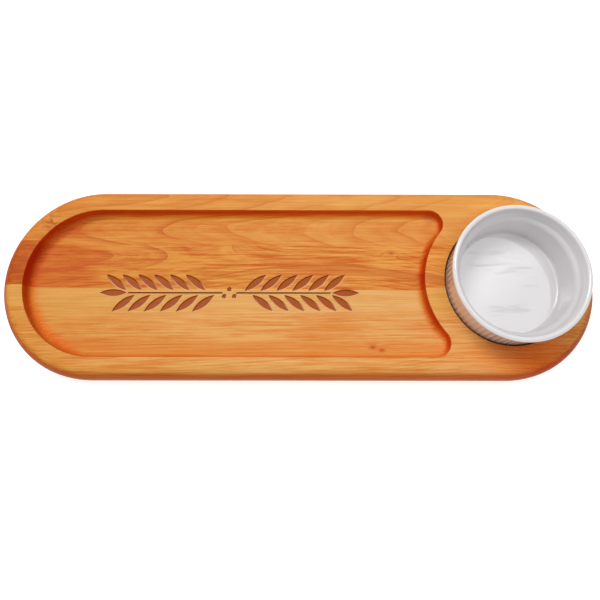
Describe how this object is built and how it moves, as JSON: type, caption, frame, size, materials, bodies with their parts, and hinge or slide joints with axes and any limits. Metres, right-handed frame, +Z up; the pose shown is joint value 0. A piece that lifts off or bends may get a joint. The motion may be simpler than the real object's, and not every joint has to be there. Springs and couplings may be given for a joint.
{
  "type": "chip and dip server",
  "caption": "Long stadium-shaped hardwood serving board with a routed chip tray and a round recess holding a loose fluted porcelain dip ramekin.",
  "frame": {"origin": "centre of the board's underside", "axes": "+X along the board towards the ramekin, +Y to the rear long side, +Z up out of the board's top face"},
  "size_m": [0.508, 0.163, 0.0655],
  "materials": {
    "rear_wood": "oiled satin heartwood, orange-brown with cathedral grain",
    "middle_wood": "oiled satin heartwood, redder and darker",
    "front_wood": "oiled satin wood, pale and yellowish at the glue line",
    "porcelain": "gloss white glaze, unglazed foot ring"
  },
  "bodies": {
    "board": {"rear_stave": "rear_wood", "middle_stave": "middle_wood", "front_stave": "front_wood"},
    "ramekin": {"ramekin": "porcelain"}
  },
  "joints": [
    {"name": "ramekin_lift", "type": "slide", "parent": "board", "child": "ramekin", "axis": [0, 0, 1], "range_m": [0, 0.08]}
  ]
}
